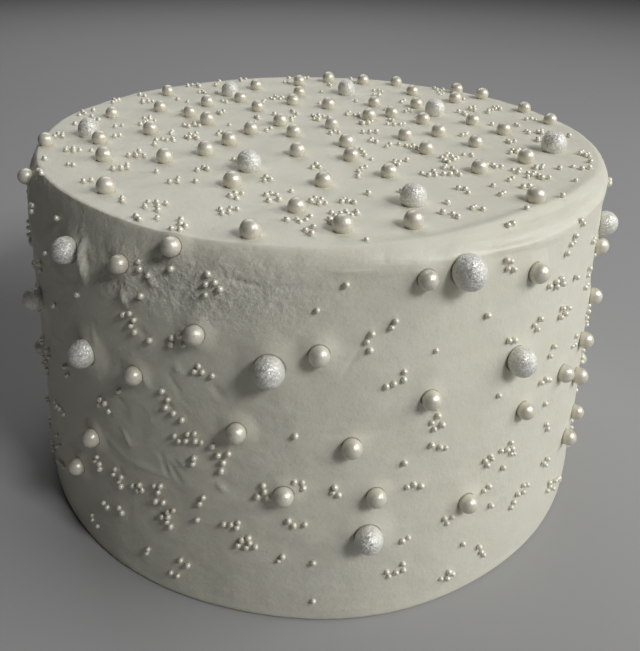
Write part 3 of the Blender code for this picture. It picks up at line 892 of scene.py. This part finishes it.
def icing_material(clouds, grain):
    """Satin cream icing: soft patches, scraper marks, fine grain and a painted shade line where it meets a
    pearl.
    """
    material, tree, shader, place = new_material(
        "satin icing", Subsurface_Weight=0.25, Subsurface_Scale=0.0025, Specular_IOR_Level=0.45)
    shader.inputs["Subsurface Radius"].default_value = (1.0, 0.9, 0.65)
    patches = use_group(tree, clouds, {"Place": place, "Size": 34 * MM, "Detail": 3.0})
    flecks = use_group(tree, clouds, {"Place": place, "Size": 7 * MM, "Detail": 3.0})
    ground = blend(tree, patches, CREAM_ICING, COOL_ICING)
    fresh = blend(tree, calc(tree, "MULTIPLY", flecks, 0.35), ground, FRESH_ICING)
    torn = calc(tree, "MULTIPLY", painted(tree, "torn"), 0.4)
    iced = blend(tree, torn, fresh, TORN_ICING)
    # Painted shade: a dark ring in the icing's colour round each pearl's edge, standing in for the shadow in
    # a gap the mesh does not have
    from_pearl = node(tree, "ShaderNodeAttribute", attribute_name="from_pearl").outputs["Vector"]
    radii_away = node(tree, "ShaderNodeVectorMath", {0: from_pearl}, operation="LENGTH").outputs["Value"]
    gap = calc(tree, "SUBTRACT", 1.0, eased(tree, radii_away, *PEARL_SHADE_LINE))
    gap = calc(tree, "MULTIPLY", gap, painted(tree, "pearl_edge_shade"))
    shaded = blend(tree, calc(tree, "MULTIPLY", gap, 0.65), iced, GAP_SHADE)
    tree.links.new(shaded, shader.inputs["Base Color"])
    tree.links.new(mapped(tree, flecks, 0.42, 0.58), shader.inputs["Roughness"])
    coarse = use_group(tree, grain, {"Place": place, "Size": 3.0 * MM, "Height": 0.06 * MM})
    scratched = calc(tree, "MULTIPLY_ADD", painted(tree, "torn"), 3.0, painted(tree, "worked"))
    scratch_height = calc(tree, "MULTIPLY", scratched, 0.05 * MM)
    scratches = use_group(tree, grain, {"Place": slanted(tree, place), "Size": 1.3 * MM,
                                        "Height": scratch_height, "Normal": coarse})
    crumb_height = calc(tree, "MULTIPLY", painted(tree, "torn"), 0.28 * MM)
    crumbs = use_group(tree, grain, {"Place": place, "Size": 2.0 * MM, "Height": crumb_height,
                                     "Normal": scratches})
    drag_height = calc(tree, "MULTIPLY", painted(tree, "dragged"), 0.10 * MM)
    drags = use_group(tree, grain, {"Place": ringed(tree, place), "Size": 1.6 * MM, "Height": drag_height,
                                    "Normal": crumbs})
    fine = use_group(tree, grain, {"Place": place, "Size": 0.9 * MM, "Height": 0.02 * MM, "Normal": drags})
    tree.links.new(fine, shader.inputs["Normal"])
    return material


def pearl_material(name, cream, champagne, clouds, grain, flakes):
    """Sugar pearls with a silky lustre, between two colours."""
    material, tree, shader, place = new_material(name, Metallic=0.28, Coat_Weight=0.15, Coat_Roughness=0.25)
    tint = painted(tree, "tint")
    shells = blend(tree, tint, cream, champagne)
    mist = use_group(tree, clouds, {"Place": place, "Size": 2.2 * MM})
    misty = blend(tree, calc(tree, "MULTIPLY", mist, 0.7), shells, PEARL_MIST)
    tree.links.new(misty, shader.inputs["Base Color"])
    tree.links.new(mapped(tree, mist, 0.32, 0.44), shader.inputs["Roughness"])
    flaky = use_group(tree, flakes, {"Place": place, "Size": 0.45 * MM, "Tilt": 0.15})
    fine = use_group(tree, grain, {"Place": place, "Size": 0.8 * MM, "Height": 0.01 * MM, "Normal": flaky})
    tree.links.new(fine, shader.inputs["Normal"])
    return material


def glitter_material(clouds, grain, flakes):
    """Large sugar balls under a sandy silver glitter."""
    material, tree, shader, place = new_material("glitter sugar", Metallic=0.3)
    specks = node(tree, "ShaderNodeTexVoronoi", {"Vector": place, "Scale": 1 / SPECK}).outputs["Color"]
    speck = node(tree, "ShaderNodeSeparateColor", {0: specks}).outputs[0]
    mist = use_group(tree, clouds, {"Place": place, "Size": 3 * MM})
    silver = blend(tree, mist, DULL_SILVER, BRIGHT_SILVER)
    sandy = blend(tree, mapped(tree, speck, 0.0, 0.45), silver, SAND)
    tree.links.new(sandy, shader.inputs["Base Color"])
    tree.links.new(mapped(tree, speck, 0.42, 0.62), shader.inputs["Roughness"])
    flaky = use_group(tree, flakes, {"Place": place, "Size": 0.36 * MM, "Tilt": 0.7})
    fine = use_group(tree, grain, {"Place": place, "Size": 0.8 * MM, "Height": 0.02 * MM, "Normal": flaky})
    tree.links.new(fine, shader.inputs["Normal"])
    return material


def floor_material(clouds):
    """A plain pale matt floor."""
    material, tree, shader, place = new_material("pale floor", Roughness=0.7)
    soft = use_group(tree, clouds, {"Place": place, "Size": 0.4})
    tree.links.new(blend(tree, soft, (0.34, 0.34, 0.34), (0.36, 0.36, 0.36)), shader.inputs["Base Color"])
    return material


# The pieces

def dress_cake():
    """The icing and the three kinds of pearls, each riding on the cake."""
    layout = random.Random(LAYOUT_SEED)
    large = large_pearls(layout)
    medium = medium_pearls(large, layout)
    tiny = [pearl for group in tiny_groups(large + medium, layout) for pearl in group]
    groups = clouds, grain, flakes = cloudy_group(), grain_group(), flake_group()
    sugar = pearl_material("pearl sugar", *MEDIUM_SHELLS, *groups)
    fine_sugar = pearl_material("fine pearl sugar", *TINY_SHELLS, *groups)
    chance = random.Random(LAYOUT_SEED + 1)

    shape = iced_mesh()
    mark_icing(shape, STROKES + small_marks(random.Random(LAYOUT_SEED + 2)))
    mark_round_pearls(shape, large + medium, chance)
    icing = grown("icing", shape, relief_tree(), {
        "Broad Height": 0.5 * MM, "Broad Size": 28 * MM, "Narrow Height": 0.12 * MM,
        "Narrow Size": 10 * MM, "Streak Height": 0.09 * MM, "Streak Size": 4 * MM,
        "Wrinkle Height": 0.22 * MM, "Wrinkle Size": 4 * MM, "Torn Height": 0.55 * MM,
        "Torn Size": 3.4 * MM, "Foot": 4 * MM, "Material": icing_material(clouds, grain)})
    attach(icing, "root")
    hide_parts("iced_cake")

    kinds = [("large_pearls", large, 0.08, 4, 0.06 * MM, glitter_material(*groups)),
             ("medium_pearls", medium, 0.03, 3, 0.02 * MM, sugar),
             ("tiny_pearls", tiny, 0.10, 2, 0.0, fine_sugar)]
    tree = pearl_tree()
    for name, pearls, stretch, roundness, dent, material in kinds:
        balls = grown(name, pearl_points(name + " points", pearls, stretch, chance), tree, {
            "Roundness": roundness, "Dent Height": dent, "Dent Size": 2.5 * MM, "Material": material})
        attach(balls, "root")
        if name == "large_pearls":
            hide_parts(*[f"large_pearl_{index + 1:02d}" for index in range(len(large))])
    return floor_material(clouds)


# The studio: a pale floor, a key lamp at the front right, a broad one beside it, weak ones at the front
# and behind, a little light from all round, and the camera

CAMERA_PLACE = (0.0, -0.27184, 0.20974)
CAMERA_PITCH = 25.58
CAMERA_YAW = -0.60
CAMERA_ROLL = 0.95
FOCAL_SHARE = 710 / 651
SHIFT_DOWN = 75.5 / 651
SENSOR = 36


def add_floor(material):
    """A wide plain floor at the cake's foot."""
    bpy.ops.mesh.primitive_plane_add(size=16)
    floor = bpy.context.object
    floor.name = "floor"
    floor.data.materials.append(material)


def add_lamp(name, turn, lift, distance, size, power):
    """A square lamp facing the cake from an angle and a lift above the floor."""
    around, up = math.radians(turn), math.radians(lift)
    toward = Vector((math.sin(around) * math.cos(up), -math.cos(around) * math.cos(up), math.sin(up)))
    light = bpy.data.lights.new(name, "AREA")
    light.energy = power
    light.size = size
    lamp = bpy.data.objects.new(name, light)
    lamp.location = toward * distance + Vector((0, 0, HEIGHT / 2))
    lamp.rotation_mode = "QUATERNION"
    lamp.rotation_quaternion = toward.to_track_quat("Z", "Y")
    bpy.context.scene.collection.objects.link(lamp)


def add_surroundings(seen, light):
    """Pale surroundings: one grey where they are seen, a weaker one where they light the cake."""
    world = bpy.data.worlds.new("studio")
    world.use_nodes = True
    tree = world.node_tree
    path = node(tree, "ShaderNodeLightPath").outputs["Is Camera Ray"]
    strength = calc(tree, "MULTIPLY_ADD", path, seen - light, light)
    tree.links.new(strength, tree.nodes["Background"].inputs["Strength"])
    tree.nodes["Background"].inputs["Color"].default_value = (1, 1, 1, 1)
    bpy.context.scene.world = world


def add_camera():
    """The camera at the photograph's place and angle."""
    lens = bpy.data.cameras.new("camera")
    lens.sensor_width = SENSOR
    lens.lens = SENSOR * FOCAL_SHARE
    lens.shift_y = -SHIFT_DOWN
    lens.clip_start = 0.01
    camera = bpy.data.objects.new("camera", lens)
    camera.location = CAMERA_PLACE
    yaw = Euler((0, 0, math.radians(CAMERA_YAW))).to_matrix()
    pitch = Euler((math.radians(90 - CAMERA_PITCH), 0, 0)).to_matrix()
    roll = Euler((0, 0, math.radians(CAMERA_ROLL))).to_matrix()
    camera.rotation_euler = (yaw @ pitch @ roll).to_euler()
    bpy.context.scene.collection.objects.link(camera)
    bpy.context.scene.camera = camera


add_floor(dress_cake())
add_lamp("key", 45, 40, 1.6, 0.35, 11)
add_lamp("side", 80, 30, 1.6, 1.0, 12.5)
add_lamp("front", -8, 30, 1.8, 1.5, 0.3)
add_lamp("back", 190, 45, 1.6, 1.2, 7.5)
add_surroundings(0.5, 0.01)
add_camera()
bpy.context.scene.view_settings.view_transform = "Standard"
